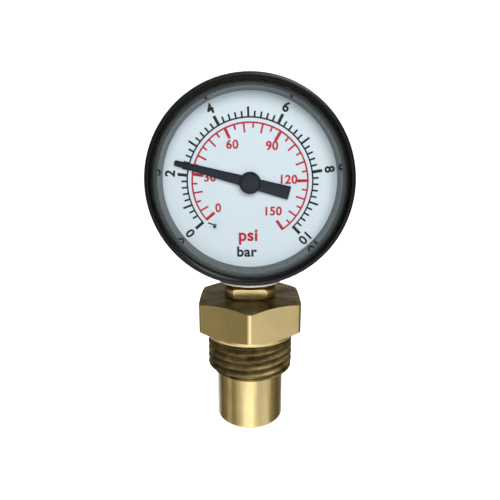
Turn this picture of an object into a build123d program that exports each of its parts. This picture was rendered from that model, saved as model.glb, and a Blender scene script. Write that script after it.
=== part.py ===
from build123d import *
import os
from math import acos, atan2, cos, degrees, hypot, pi, radians, sin, tan

# Bottom-entry pressure gauge, 40 mm nominal size, with a 10 bar dial and a spigot adapter.
# Millimetres and degrees. +Z is up along the stem, the dial faces -Y, and z = 0 is the underside
# of the adapter's washer face. Angles about the dial axis run anticlockwise from +X, seen from
# the front. Every piece is drawn at the reading that the pointer shows.

# ---- pointer's directions --------------------------------------------------------------------
stop_rest_angle = 225.0     # against its stop, with no pressure
full_scale_angle = -54.75   # at the end of the longer scale
pointer_angle = 165.33      # as drawn, at about 2.3 bar

# ---- case, window and dial -------------------------------------------------------------------
rim_front_y = -15.0
rim_depth = 8.0
rim_edge = 0.9              # round on the rim's outer front edge
rim_back_edge = 0.4
rim_land = 0.8              # flat front of the rim, outside the lip
rim_step = 0.9              # from the rim in to the case body
lip = 0.55                  # chamfer on the rim's inner edge
case_back_y = 10.0
case_wall = 1.5
case_round = 1.6
window_radius = 19.75
window_gap = 0.1            # all round the window in its pocket
window_set_back = 0.55      # from the rim's front to the window's
window_thickness = 1.4
skirt_thickness = 0.9
skirt_draft = 0.3           # how much further in the skirt stands at the dial
snap_drop = 1.0             # from the back of the window's disc to the snap bead
snap_height = 0.3
snap_width = 0.8
window_edge = 0.25          # chamfer on the window's front edge
dial_thickness = 0.5
dial_front_y = -8.9
dial_hole_radius = 1.5
dial_edge_gap = 0.05        # dial to pocket wall
ledge_width = 1.65          # ring in the case that the dial lies on
ledge_depth = 1.2
over = 1.0                  # how far a cutter runs past the face that it cuts

# ---- pointer ------------------------------------------------------------------------------------
pointer_tip_gap = 2.2       # pointer's tip to the edge of the visible dial
pointer_tail = 8.65
pointer_nose = 0.25         # how far back the tip's corners are cut
pointer_root_width = 2.35
pointer_tip_width = 1.15
tail_end_width = 2.85
pointer_thickness = 0.5
pointer_gap = 0.75          # dial to pointer
pointer_boss_radius = 2.3
pointer_boss_height = 1.7
pointer_bevel = 0.32
pointer_boss_chamfer = 0.45
bush_radius = 1.0
bush_height = 0.7
stop_radius = 0.3
stop_distance = 11.9        # stop pin from the dial axis
stop_angle = 230.6
stop_height = 2.0           # stop pin in front of the dial
stop_head = 0.25            # head of the stop pin behind the dial, past its shank
stop_head_height = 0.35

# ---- threads (crest radius, pitch, tooth depth) ------------------------------------------------
port_crest = 4.864          # G 1/8
port_pitch = 0.907
port_tooth = 0.581
port_turns = 10
port_clearance = 0.06
adapter_crest = 10.4775     # G 1/2
adapter_pitch = 1.814
adapter_tooth = 1.162
adapter_turns = 5

# ---- adapter --------------------------------------------------------------------------------------
hex_flats = 24.0
hex_height = 8.15
hex_chamfer_angle = 20.0
washer_face_inset = 0.6     # from the hexagon's flats in to the washer face
washer_face_height = 1.25
seat_gap = 0.12             # from the thread's crest out to the seat face
seat_relief = 0.15          # depth of the relief inside the seat face
thread_run_out = 0.35       # plain stretch above and below the ridges
spigot_radius = 8.25
spigot_length = 13.5
spigot_chamfer = 0.8
inlet_radius = 3.0
port_mouth_gap = 0.116      # mouth of the port, outside its thread's crest

# ---- stem -----------------------------------------------------------------------------------------
gasket_thickness = 0.4
gasket_inset = 0.15         # from the square's flats in to the gasket
square_chamfer = 0.3
square_size = 12.0
square_corner = 1.2         # how far the turned corners stand out past the flats
square_height = 2.3
collar_height = 1.1
collar_lip = 0.2            # collar past the square's corners
relief_step = 0.2
shank_rise = 2.4            # shank above the bottom of the case's inside
block_rise = 1.8            # bottom of the tube's block, above the same
block_left = -6.4           # left face of that block
thread_neck = 1.2           # plain neck between the port thread and the square
stem_bore_radius = 1.2
foot_bore_radius = 0.6      # way from the stem's bore to the tube's foot
inlet_bore_radius = 1.5
inlet_bore_depth = 4.5
restrictor_length = 3.0
restrictor_hole_radius = 0.25
restrictor_depth = 0.3      # restrictor's lower end above the stem's
slot_width = 0.5
slot_depth = 0.6
bush_flange_lip = 0.4       # bush flange past the case's hole
bush_flange_height = 0.7
bush_slit = 1.0
case_hole_gap = 0.1         # case hole past the square's corners
boss_wall = 1.3
boss_height = 2.8           # from the boss's end up to the bottom of the case
bush_drop = 1.6             # bush's top below the shank's
fit_gap = 0.04              # bush to its hole and to the shank

# ---- movement -------------------------------------------------------------------------------------
gear_module = 0.25
pinion_teeth = 12
sector_full_teeth = 84
sector_teeth = 13
tooth_shift = 0.3           # pinion out, sector in
pressure_angle = 20.0
backlash = 0.02             # taken off each tooth
pinion_width = 2.0
sector_thickness = 0.8
sector_rim_width = 1.6
sector_arm_width = 2.2
sector_hub_radius = 1.3
sector_hub_height = 0.7
sector_offset = 2.4         # sector's back face in front of the front plate's back
root_depth = 1.55           # sector's tooth root below its pitch line, in modules
tube_gap = 4.5              # middle of the tube to the case's inner wall
tube_thickness = 1.8
tube_width = 6.0
tube_wall = 0.25
tube_foot_angle = 260.0
tube_tip_angle = -20.0
tube_swing = 10.4           # how far the tube's tip turns over the full scale
pin_angle = -27.0           # link pin on the tube's tip, at mid-scale
pin_distance = 12.5         # link pin on the tube's tip, from the dial axis
tail_length = 4.16          # sector arbor to its link pin
link_thickness = 0.6
link_width = 1.3
link_gap = 0.2              # between the link and its neighbours
lug_thickness = 0.8
link_eye_radius = 0.95
link_pin_radius = 0.4
pin_head = 0.2              # head of a link pin, past its shank
pin_head_height = 0.3
tube_end_wall = 0.5         # tube end's metal outside the tube
running_gap = 0.03
open_eye_gap = 0.22         # clearance of the eye on the tube's side
plate_thickness = 0.9
back_plate_y = 0.2          # back face of the back plate
plate_distance = 4.5        # between the two plates
plate_margin = 1.9
pivot_radius = 0.4
nose_step = 0.15            # pointer's seat on the arbor, past the pivot
arbor_radius = 0.8
end_play = 0.1
pillar_radius = 1.1
pillar_spots = [(-9.0, -4.0), (9.3, 2.0), (-3.6, -8.8)]
movement_screw_spots = [(-0.9, -9.6), (4.9, -9.8)]
plate_screw_radius = 0.6
plate_screw_head = 1.15
plate_screw_length = 1.8
movement_screw_length = 2.5
screw_hole_depth = 0.2      # screw hole past the screw's end
spring_collet_radius = 1.35
spring_outer_radius = 5.0
spring_turns = 4.25
spring_strip = 0.12
spring_height = 0.5
stud_radius = 0.45

# ---- rear screws ----------------------------------------------------------------------------------
rear_screw_apart = 8.0
rear_screw_rise = 2.8       # above the bottom of the stem's block
rear_screw_radius = 1.25
rear_screw_gap = 0.15       # hole in the case past the screw
rear_screw_tip_gap = 0.4    # screw's end short of the hole's
rear_screw_head = 2.4
rear_screw_head_height = 1.5
rear_screw_length = 5.0

# ---- worked out -----------------------------------------------------------------------------------
pointer_span = stop_rest_angle - full_scale_angle
pocket_radius = window_radius + window_gap
rim_radius = pocket_radius + lip + rim_land
body_radius = rim_radius - rim_step
cavity_radius = body_radius - case_wall
cavity_back_y = case_back_y - case_wall
visible_radius = window_radius - skirt_thickness - skirt_draft
pointer_length = visible_radius - pointer_tip_gap
tube_radius = cavity_radius - tube_gap
shank_radius = square_size / 2
relief_radius = shank_radius + relief_step
gasket_radius = shank_radius - gasket_inset
square_turned_radius = shank_radius + square_corner
collar_radius = square_turned_radius + collar_lip
case_hole_radius = square_turned_radius + case_hole_gap
bush_flange_radius = case_hole_radius + bush_flange_lip
washer_face_radius = hex_flats / 2 - washer_face_inset
port_mouth_radius = port_crest + port_mouth_gap
window_front_y = rim_front_y + window_set_back
window_back_y = window_front_y + window_thickness
dial_back_y = dial_front_y + dial_thickness
ledge_radius = pocket_radius - ledge_width
ledge_back_y = dial_back_y + ledge_depth
hex_top = washer_face_height + hex_height
square_bottom = hex_top + gasket_thickness
collar_bottom = square_bottom + square_height
collar_top = collar_bottom + collar_height
boss_bottom = collar_top + bush_flange_height
dial_height = boss_bottom + boss_height + body_radius
shank_top = dial_height - cavity_radius + shank_rise
block_bottom = dial_height - cavity_radius + block_rise
rear_screw_z = block_bottom + rear_screw_rise - dial_height
rear_screw_spots = [(-rear_screw_apart / 2, rear_screw_z), (rear_screw_apart / 2, rear_screw_z)]
thread_bottom = -(adapter_turns * adapter_pitch + 2 * thread_run_out)
spigot_bottom = thread_bottom - spigot_length
port_start = square_bottom - thread_neck - port_turns * port_pitch
pitch_pinion = gear_module * pinion_teeth / 2
pitch_sector = gear_module * sector_full_teeth / 2
centre_distance = pitch_pinion + pitch_sector
gear_ratio = pinion_teeth / sector_full_teeth
front_plate_back_y = back_plate_y - plate_thickness - plate_distance
front_plate_front_y = front_plate_back_y - plate_thickness
back_plate_front_y = back_plate_y - plate_thickness
sector_back_y = front_plate_back_y + sector_offset
sector_front_y = sector_back_y - sector_thickness
pinion_front_y = sector_front_y - (pinion_width - sector_thickness) / 2
pointer_back_y = dial_front_y - pointer_gap
pointer_front_y = pointer_back_y - pointer_thickness
rest_share = (stop_rest_angle - pointer_angle) / pointer_span - 0.5     # of the swing, from its middle
nose_radius = pivot_radius + nose_step
snap_y = window_back_y + snap_drop


def turn(point, centre, angle):
    """Turn a front-view point anticlockwise about a centre."""
    c, s = cos(radians(angle)), sin(radians(angle))
    x, z = point[0] - centre[0], point[1] - centre[1]
    return centre[0] + c * x - s * z, centre[1] + s * x + c * z


def polar(radius, angle):
    return radius * cos(radians(angle)), radius * sin(radians(angle))


# The tube's tip swings about the middle of the tube's arc. At mid-scale the link lies along the
# tip's path and square to the sector's tail, which keeps the link's angle almost constant.
half_arc = radians(tube_foot_angle - tube_tip_angle) / 2
swing_centre = polar(tube_radius * sin(half_arc) / half_arc, (tube_foot_angle + tube_tip_angle) / 2)
mid_pin = polar(pin_distance, pin_angle)
lever = hypot(mid_pin[0] - swing_centre[0], mid_pin[1] - swing_centre[1])
along = (-(mid_pin[1] - swing_centre[1]) / lever, (mid_pin[0] - swing_centre[0]) / lever)
square_to = (-along[1], along[0])
corner = (mid_pin[0] + tail_length * square_to[0], mid_pin[1] + tail_length * square_to[1])
half_b = corner[0] * along[0] + corner[1] * along[1]
link_length = half_b + (half_b ** 2 - hypot(*corner) ** 2 + centre_distance ** 2) ** 0.5
mid_tail = (mid_pin[0] - link_length * along[0], mid_pin[1] - link_length * along[1])
sector_pivot = (mid_tail[0] + tail_length * square_to[0], mid_tail[1] + tail_length * square_to[1])
sector_swing = pointer_span * gear_ratio
sector_turn = rest_share * sector_swing
tail_pin = turn(mid_tail, sector_pivot, sector_turn)
tip_pin = turn(mid_pin, swing_centre, rest_share * tube_swing)
mesh_angle = degrees(atan2(-sector_pivot[1], -sector_pivot[0]))


# ---- helpers --------------------------------------------------------------------------------------
def outline(corners):
    """Closed face from (x, y, corner radius) triples."""
    points = [(x, y) for x, y, radius in corners]
    return make_face(FilletPolyline(*points, radius=[c[2] for c in corners], close=True))


def sharp(points):
    return make_face(Polyline(*points, close=True))


def about_dial(face, start=0.0, sweep=360.0):
    """Turn a (radius, y) face about the dial axis, clockwise in front view from a start angle."""
    return Pos(0, 0, dial_height) * revolve(Rot(0, -start, 0) * face, Axis.Y, sweep)


def about_stem(face):
    """Turn a (radius, z) face about the stem axis."""
    return revolve(Plane.XZ * face, Axis.Z)


def front_view(y):
    """Plane facing the viewer at depth y, with its origin on the dial axis."""
    return Plane(origin=(0, y, dial_height), x_dir=(1, 0, 0), z_dir=(0, -1, 0))


def slab(sketch, front_y, back_y):
    """Front-view sketch made solid between two depths."""
    return extrude(front_view(back_y) * sketch, back_y - front_y)


def rod(radius, spot, front_y, back_y):
    return slab(Pos(*spot) * Circle(radius), front_y, back_y)


def upright(radius, low, high, x=0.0, y=0.0):
    return Pos(x, y, low) * extrude(Circle(radius), high - low)


def box(low, high):
    size = [b - a for a, b in zip(low, high)]
    return Pos(*low) * Box(*size, align=(Align.MIN, Align.MIN, Align.MIN))


def ridges(crest, tooth, pitch, start, count):
    """Points of ring-shaped thread ridges, from low to high."""
    points = []
    for i in range(count):
        z = start + i * pitch
        points += [(crest - tooth, z + 0.08 * pitch), (crest, z + 0.42 * pitch)]
        points += [(crest, z + 0.58 * pitch), (crest - tooth, z + 0.92 * pitch)]
    return points


def hull_of(circles):
    """Plate outline that wraps (spot, radius) circles."""
    edges = ShapeList()
    for spot, radius in circles:
        edges += (Pos(*spot) * Circle(radius)).edges()
    return make_hull(edges)


def slotted_head(radius, height, front_y, spot, toward=-1):
    """Cheese head with a screwdriver slot. Toward -1 faces the viewer, +1 faces the back."""
    y0, y1 = sorted((front_y, front_y + toward * height))
    head = rod(radius, spot, y0, y1)
    s0, s1 = sorted((front_y + toward * height, front_y + toward * 0.5 * height))
    slot = slab(Pos(*spot) * Rot(0, 0, 30) * Rectangle(2 * radius + 1, 0.36 * radius), s0, s1)
    return head - slot


def tooth_half(radius, pitch_radius, thickness):
    """Half of a tooth's angle at a radius, for an involute flank."""
    base = pitch_radius * cos(radians(pressure_angle))
    at_pitch = tan(radians(pressure_angle)) - radians(pressure_angle)
    here = acos(min(1.0, base / radius))
    return thickness / (2 * pitch_radius) + at_pitch - (tan(here) - here)


def tooth_points(pitch_radius, shift, angles):
    """Outline points of gear teeth centred on the given angles, in rising order."""
    root = pitch_radius - gear_module * (1.25 - shift)
    tip = pitch_radius + gear_module * (1 + shift)
    base = pitch_radius * cos(radians(pressure_angle))
    low = max(root, base)
    flank = [low + (tip - low) * i / 4 for i in range(5)]
    thickness = gear_module * (pi / 2 + 2 * shift * tan(radians(pressure_angle))) - backlash
    points = []
    for angle in angles:
        halves = [degrees(tooth_half(r, pitch_radius, thickness)) for r in flank]
        rising = [(r, angle - h) for r, h in zip(flank, halves)]
        if root < base:
            rising.insert(0, (root, angle - halves[0]))
        falling = [(r, 2 * angle - a) for r, a in reversed(rising)]
        points += [polar(r, a) for r, a in rising + falling]
    return points


def save(name, solid):
    solid.label = name
    export_step(solid, os.path.join("parts", name + ".step"))


# ---- case, window, dial ---------------------------------------------------------------------------
def make_case():
    rim_back = rim_front_y + rim_depth
    shell = about_dial(outline([
        (0, rim_front_y, 0),
        (rim_radius, rim_front_y, rim_edge),
        (rim_radius, rim_back, rim_back_edge),
        (body_radius, rim_back, 0),
        (body_radius, case_back_y, case_round),
        (0, case_back_y, 0),
    ]))
    shell += upright(case_hole_radius + boss_wall, boss_bottom, shank_top)
    groove = snap_height + window_gap
    shell -= about_dial(sharp([
        (0, rim_front_y - over),
        (pocket_radius + lip, rim_front_y - over),
        (pocket_radius + lip, rim_front_y),
        (pocket_radius, rim_front_y + lip),
        (pocket_radius, snap_y - groove),
        (pocket_radius + snap_height, snap_y),
        (pocket_radius + snap_height, snap_y + snap_width),
        (pocket_radius, snap_y + snap_width + groove),
        (pocket_radius, dial_back_y),
        (ledge_radius, dial_back_y),
        (ledge_radius, ledge_back_y),
        (cavity_radius, ledge_back_y + cavity_radius - ledge_radius),
        (cavity_radius, cavity_back_y),
        (0, cavity_back_y),
    ]))
    shell -= upright(case_hole_radius, boss_bottom - over, shank_top + over)
    for spot in rear_screw_spots:
        hole = rear_screw_radius + rear_screw_gap
        shell -= rod(hole, spot, cavity_back_y - over, case_back_y + over)
    return shell


def make_window():
    inner = window_radius - skirt_thickness
    return about_dial(sharp([
        (0, window_front_y),
        (window_radius - window_edge, window_front_y),
        (window_radius, window_front_y + window_edge),
        (window_radius, snap_y - snap_height),
        (window_radius + snap_height, snap_y),
        (window_radius + snap_height, snap_y + snap_width),
        (window_radius, snap_y + snap_width + snap_height),
        (window_radius, dial_front_y),
        (inner - skirt_draft, dial_front_y),
        (inner, window_back_y),
        (0, window_back_y),
    ]))


def make_dial():
    disc = rod(pocket_radius - dial_edge_gap, (0, 0), dial_front_y, dial_back_y)
    stop_spot = polar(stop_distance, stop_angle)
    for spot, radius in [((0, 0), dial_hole_radius), (stop_spot, stop_radius)]:
        disc -= rod(radius, spot, dial_front_y - over, dial_back_y + over)
    return disc


def make_stop_pin():
    spot = polar(stop_distance, stop_angle)
    pin = rod(stop_radius, spot, dial_front_y - stop_height, dial_back_y)
    return pin + rod(stop_radius + stop_head, spot, dial_back_y, dial_back_y + stop_head_height)


# ---- pointer --------------------------------------------------------------------------------------
def make_pointer():
    half_root, half_tip, half_tail = pointer_root_width / 2, pointer_tip_width / 2, tail_end_width / 2
    blade = outline([
        (-pointer_tail, -half_tail, 0),
        (0, -half_root, 0),
        (pointer_length - pointer_nose, -half_tip, 0),
        (pointer_length, -half_tip + pointer_nose, 0),
        (pointer_length, half_tip - pointer_nose, 0),
        (pointer_length - pointer_nose, half_tip, 0),
        (0, half_root, 0),
        (-pointer_tail, half_tail, 0),
    ])
    body = slab(Rot(0, 0, pointer_angle) * blade, pointer_front_y, pointer_back_y)
    front = body.faces().sort_by(Axis.Y)[0]
    body = chamfer(front.edges(), pointer_bevel)
    boss_front = pointer_back_y - pointer_boss_height
    body += about_dial(sharp([
        (0, pointer_back_y),
        (pointer_boss_radius, pointer_back_y),
        (pointer_boss_radius, boss_front + pointer_boss_chamfer),
        (pointer_boss_radius - pointer_boss_chamfer, boss_front),
        (0, boss_front),
    ]))
    return body - rod(bush_radius, (0, 0), pointer_back_y - bush_height, pointer_back_y + over)


def make_pointer_bush():
    ring = rod(bush_radius, (0, 0), pointer_back_y - bush_height, pointer_back_y + 0.2)
    return ring - rod(nose_radius, (0, 0), pointer_back_y - bush_height - over, 0)


def make_pinion_shaft():
    """Turned steel arbor with the pinion cut on it, which carries the pointer at its front."""
    shaft = rod(pivot_radius, (0, 0), back_plate_front_y, back_plate_y - end_play)
    shaft += rod(arbor_radius, (0, 0), front_plate_back_y + end_play, back_plate_front_y - end_play)
    shaft += rod(pivot_radius, (0, 0), back_plate_front_y - end_play, back_plate_front_y)
    shaft += rod(nose_radius, (0, 0), pointer_back_y - bush_height, front_plate_back_y + end_play)
    step = 360.0 / pinion_teeth
    pinion_turn = mesh_angle + 180 + step / 2 - sector_turn / gear_ratio
    angles = [pinion_turn + i * step for i in range(pinion_teeth)]
    teeth = sharp(tooth_points(pitch_pinion, tooth_shift, angles))
    return shaft + slab(teeth, pinion_front_y, pinion_front_y + pinion_width)


# ---- sector, link and tube tip ----------------------------------------------------------------------
def make_sector_gear():
    step = 360.0 / sector_full_teeth
    first = -(sector_teeth - 1) / 2
    angles = [(first + i) * step for i in range(sector_teeth)]
    teeth = tooth_points(pitch_sector, -tooth_shift, angles)
    root = pitch_sector - root_depth * gear_module
    inside = root - sector_rim_width
    end = angles[-1] + step * 0.7
    rim_ends = [polar(root, -end), *teeth, polar(root, end)]
    inner_arc = [polar(inside, end - 2 * end * i / 12) for i in range(13)]
    plate = sharp(rim_ends + inner_arc)
    half = sector_arm_width / 2
    plate += sharp([(0, -half), (inside + 0.5, -half * 0.7), (inside + 0.5, half * 0.7), (0, half)])
    plate += Circle(sector_hub_radius)
    tail_angle = degrees(atan2(mid_tail[1] - sector_pivot[1], mid_tail[0] - sector_pivot[0]))
    tail = polar(tail_length, tail_angle - mesh_angle)
    plate += hull_of([((0, 0), 1.1), (tail, link_eye_radius)])
    plate -= Circle(arbor_radius)
    plate -= Pos(*tail) * Circle(link_pin_radius)
    placed = Pos(*sector_pivot) * Rot(0, 0, mesh_angle + sector_turn) * plate
    return slab(placed, sector_front_y, sector_back_y)


def make_sector_arbor():
    arbor = rod(pivot_radius, sector_pivot, front_plate_front_y + end_play, back_plate_y - end_play)
    low, high = front_plate_back_y + end_play, back_plate_front_y - end_play
    arbor += rod(arbor_radius, sector_pivot, low, high)
    hub_back_y = sector_back_y + sector_hub_height
    return arbor + rod(sector_hub_radius, sector_pivot, sector_back_y, hub_back_y)


link_front_y = sector_back_y + link_gap
link_back_y = link_front_y + link_thickness
lug_front_y = link_back_y + link_gap
lug_back_y = lug_front_y + lug_thickness


def make_sector_pin():
    head_y = link_back_y + link_gap / 2
    head = link_pin_radius + pin_head
    pin = rod(link_pin_radius, tail_pin, sector_front_y, head_y)
    pin += rod(head, tail_pin, sector_front_y - pin_head_height, sector_front_y)
    return pin + rod(head + pin_head, tail_pin, head_y, head_y + pin_head_height)


def make_link():
    length = hypot(tip_pin[0] - tail_pin[0], tip_pin[1] - tail_pin[1])
    angle = degrees(atan2(tip_pin[1] - tail_pin[1], tip_pin[0] - tail_pin[0]))
    bar = Pos(length / 2, 0) * Rectangle(length, link_width)
    bar += Circle(link_eye_radius)
    bar += Pos(length, 0) * Circle(link_eye_radius + open_eye_gap)
    bar -= Circle(link_pin_radius + running_gap)
    bar -= Pos(length, 0) * Circle(link_pin_radius + open_eye_gap)
    return slab(Pos(*tail_pin) * Rot(0, 0, angle) * bar, link_front_y, link_back_y)


def tube_section(thickness, width):
    return Pos(tube_radius, 0) * RectangleRounded(thickness, width, 0.48 * thickness)


def make_bourdon_tube():
    inside = tube_section(tube_thickness - 2 * tube_wall, tube_width - 2 * tube_wall)
    section = tube_section(tube_thickness, tube_width) - inside
    return about_dial(section, tube_foot_angle, tube_foot_angle - tube_tip_angle)


def make_tube_end():
    wall = 2 * tube_end_wall
    cap = Pos(tube_radius, 0) * Rectangle(tube_thickness + wall, tube_width + wall)
    body = about_dial(cap, tube_tip_angle + 2.2, 7.0)
    body -= about_dial(tube_section(tube_thickness, tube_width), tube_tip_angle + 8.0, 8.0)
    root = polar(tube_radius - 0.2, tube_tip_angle - 2.6)
    lug = slab(hull_of([(root, 0.9), (tip_pin, link_pin_radius + 0.85)]), lug_front_y, lug_back_y)
    lug -= about_dial(tube_section(tube_thickness, tube_width), tube_tip_angle + 8.0, 8.0)
    return body + lug - rod(link_pin_radius, tip_pin, lug_front_y - over, lug_back_y + over)


def make_tip_pin():
    head = link_pin_radius + open_eye_gap + pin_head
    head_y = link_front_y - link_gap / 2
    pin = rod(link_pin_radius, tip_pin, head_y, lug_back_y)
    pin += rod(head, tip_pin, head_y - pin_head_height, head_y)
    return pin + rod(link_pin_radius + pin_head, tip_pin, lug_back_y, lug_back_y + pin_head_height)


# ---- movement frame ---------------------------------------------------------------------------------
def plate_outline(extra):
    circles = [((0, 0), plate_margin), (sector_pivot, plate_margin)]
    circles += [(spot, plate_margin) for spot in pillar_spots + extra]
    return hull_of(circles)


def make_back_plate():
    plate = slab(plate_outline(movement_screw_spots), back_plate_front_y, back_plate_y)
    low_x, high_x, top = foot_block_span()
    plate -= box((low_x - 5, back_plate_front_y - 1, 0), (high_x + 0.3, back_plate_y + 1, top + 0.3))
    for spot in [(0, 0), sector_pivot]:
        plate -= rod(pivot_radius + running_gap, spot, back_plate_front_y - over, back_plate_y + over)
    for spot in movement_screw_spots:
        plate -= rod(plate_screw_radius, spot, back_plate_front_y - over, back_plate_y + over)
    return plate


def make_front_plate():
    plate = slab(plate_outline([]), front_plate_front_y, front_plate_back_y)
    through = [((0, 0), nose_radius + running_gap), (sector_pivot, pivot_radius + running_gap)]
    through += [(spot, plate_screw_radius) for spot in pillar_spots]
    for spot, radius in through:
        plate -= rod(radius, spot, front_plate_front_y - over, front_plate_back_y + over)
    return plate


def make_pillars():
    solids = []
    for spot in pillar_spots:
        pillar = rod(pillar_radius, spot, front_plate_back_y, back_plate_front_y)
        depth = front_plate_back_y + plate_screw_length + screw_hole_depth
        solids.append(pillar - rod(plate_screw_radius, spot, front_plate_back_y - over, depth))
    return Compound(children=solids)


def make_plate_screws():
    solids = []
    for spot in pillar_spots:
        tip = front_plate_back_y + plate_screw_length
        shank = rod(plate_screw_radius, spot, front_plate_front_y, tip)
        solids.append(shank + slotted_head(plate_screw_head, 0.7, front_plate_front_y, spot))
    return Compound(children=solids)


def make_movement_screws():
    solids = []
    for spot in movement_screw_spots:
        shank = rod(plate_screw_radius, spot, back_plate_front_y, back_plate_y + movement_screw_length)
        solids.append(shank + slotted_head(plate_screw_head, 0.5, back_plate_front_y, spot))
    return Compound(children=solids)


spring_front_y = front_plate_back_y + 0.25
stud_spot = polar(spring_outer_radius + stud_radius, 20)


def make_hairspring():
    """Flat spiral strip from the collet out to the stud."""
    inner = spring_collet_radius + 0.03
    outer = spring_outer_radius - spring_strip
    steps = int(spring_turns * 16)
    line_in, line_out = [], []
    for i in range(steps + 1):
        share = i / steps
        angle = 20 - 360 * spring_turns * (1 - share)
        line_in.append(polar(inner + (outer - inner) * share, angle))
        line_out.append(polar(inner + (outer - inner) * share + spring_strip, angle))
    edges = [Spline(*line_in), Line(line_in[-1], line_out[-1])]
    edges += [Spline(*line_out), Line(line_out[0], line_in[0])]
    return slab(make_face(edges), spring_front_y, spring_front_y + spring_height)


def make_hairspring_collet():
    ring = Circle(spring_collet_radius) - Circle(arbor_radius)
    return slab(ring, spring_front_y - 0.1, spring_front_y + spring_height + 0.1)


def make_hairspring_stud():
    return rod(stud_radius, stud_spot, front_plate_back_y, spring_front_y + spring_height + 0.3)


# ---- stem and adapter -------------------------------------------------------------------------------
def foot_block_span():
    """Left and right x and the top z of the block that holds the tube's foot."""
    top = dial_height + polar(tube_radius - tube_thickness / 2, 240)[1] + 0.6
    return block_left, polar(tube_radius, tube_foot_angle)[0] + 0.8, top


def make_stem():
    points = [(0, port_start)]
    points += ridges(port_crest, port_tooth, port_pitch, port_start, port_turns)
    relief = port_crest - port_tooth - relief_step
    thread_top = port_start + port_turns * port_pitch
    points += [(relief, thread_top + 0.1), (relief, square_bottom), (0, square_bottom)]
    stem = about_stem(sharp(points))
    square = Pos(0, 0, square_bottom) * extrude(Rectangle(square_size, square_size), square_height)
    turned = about_stem(sharp([
        (0, square_bottom),
        (square_turned_radius - square_chamfer, square_bottom),
        (square_turned_radius, square_bottom + square_chamfer),
        (square_turned_radius, collar_bottom - square_chamfer),
        (square_turned_radius - square_chamfer, collar_bottom),
        (0, collar_bottom),
    ]))
    stem += square & turned
    stem += about_stem(sharp([
        (0, collar_bottom),
        (relief_radius, collar_bottom),
        (collar_radius, collar_top),
        (shank_radius, collar_top),
        (shank_radius, shank_top),
        (0, shank_top),
    ]))
    low_x, high_x, top = foot_block_span()
    block_front_y = -tube_width / 2 - 1.0
    stem += box((low_x, block_front_y, block_bottom), (high_x, back_plate_y, top))
    pad_top = dial_height + movement_screw_spots[0][1] + plate_margin - 0.6
    stem += box((low_x, back_plate_y, block_bottom), (-low_x, cavity_back_y, pad_top))
    stem -= about_dial(tube_section(tube_thickness, tube_width), tube_foot_angle, 26)
    stem -= upright(inlet_bore_radius, port_start - over, port_start + inlet_bore_depth)
    bore_top = block_bottom - 1.0
    stem -= upright(stem_bore_radius, port_start, bore_top)
    foot = polar(tube_radius, tube_foot_angle)
    passage_start = bore_top - foot_bore_radius
    passage = Vector(foot[0], 0, dial_height + foot[1]) - Vector(0, 0, passage_start)
    way = Plane(origin=(0, 0, passage_start), z_dir=passage.normalized())
    stem -= extrude(way * Circle(foot_bore_radius), passage.length)
    hole_end_y = back_plate_y + movement_screw_length + screw_hole_depth
    for spot in movement_screw_spots:
        stem -= rod(plate_screw_radius, spot, back_plate_y - over, hole_end_y)
    for spot in rear_screw_spots:
        stem -= rod(rear_screw_radius, spot, cavity_back_y - rear_screw_length, cavity_back_y + over)
    return stem


def make_restrictor():
    low = port_start + restrictor_depth
    high = low + restrictor_length
    screw = upright(inlet_bore_radius, low, high)
    screw -= upright(restrictor_hole_radius, low - over, high + over)
    reach, half = inlet_bore_radius + over, slot_width / 2
    return screw - box((-reach, -half, low - over), (reach, half, low + slot_depth))


def make_stem_bush():
    bush = upright(bush_flange_radius, collar_top, boss_bottom)
    bush += upright(case_hole_radius - fit_gap, collar_top, shank_top - bush_drop)
    bush -= upright(shank_radius + fit_gap, collar_top - over, shank_top + over)
    slit_end = (bush_slit / 2, bush_flange_radius + over, shank_top + over)
    bush -= box((-bush_slit / 2, 0, collar_top - over), slit_end)
    front = -bush_flange_radius - over
    bush -= rod(pocket_radius, (0, 0), front, dial_back_y)
    return bush - rod(cavity_radius, (0, 0), front, cavity_back_y)


def make_port_gasket():
    ring = upright(gasket_radius, hex_top, square_bottom)
    return ring - upright(port_mouth_radius, hex_top - over, square_bottom + over)


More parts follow.
